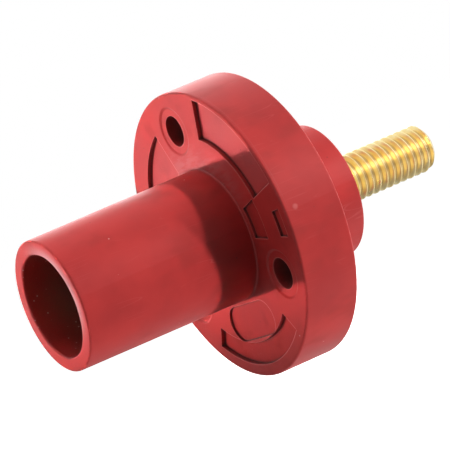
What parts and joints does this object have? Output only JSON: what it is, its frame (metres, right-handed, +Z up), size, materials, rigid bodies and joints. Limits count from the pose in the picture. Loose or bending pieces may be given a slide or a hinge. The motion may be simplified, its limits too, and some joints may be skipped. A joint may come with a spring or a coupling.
{
  "type": "single pole cam lock connector",
  "caption": "Panel-mount power receptacle: round moulded flange with a tubular insulating sleeve round a brass locking pin, and a threaded stud at the rear.",
  "frame": {"origin": "centre of the flange's rear face, which seats on the panel", "axes": "+Y along the connector's axis towards the stud, with the sleeve's mouth at -Y; +Z up through the top mounting hole; +X to the right seen from the mouth"},
  "size_m": [0.0478, 0.0719, 0.0478],
  "materials": {
    "moulded_red": "satin moulded thermoplastic",
    "turned_brass": "bright turned brass"
  },
  "bodies": {
    "root": {"insulator": "moulded_red", "contact": "turned_brass"}
  },
  "joints": []
}
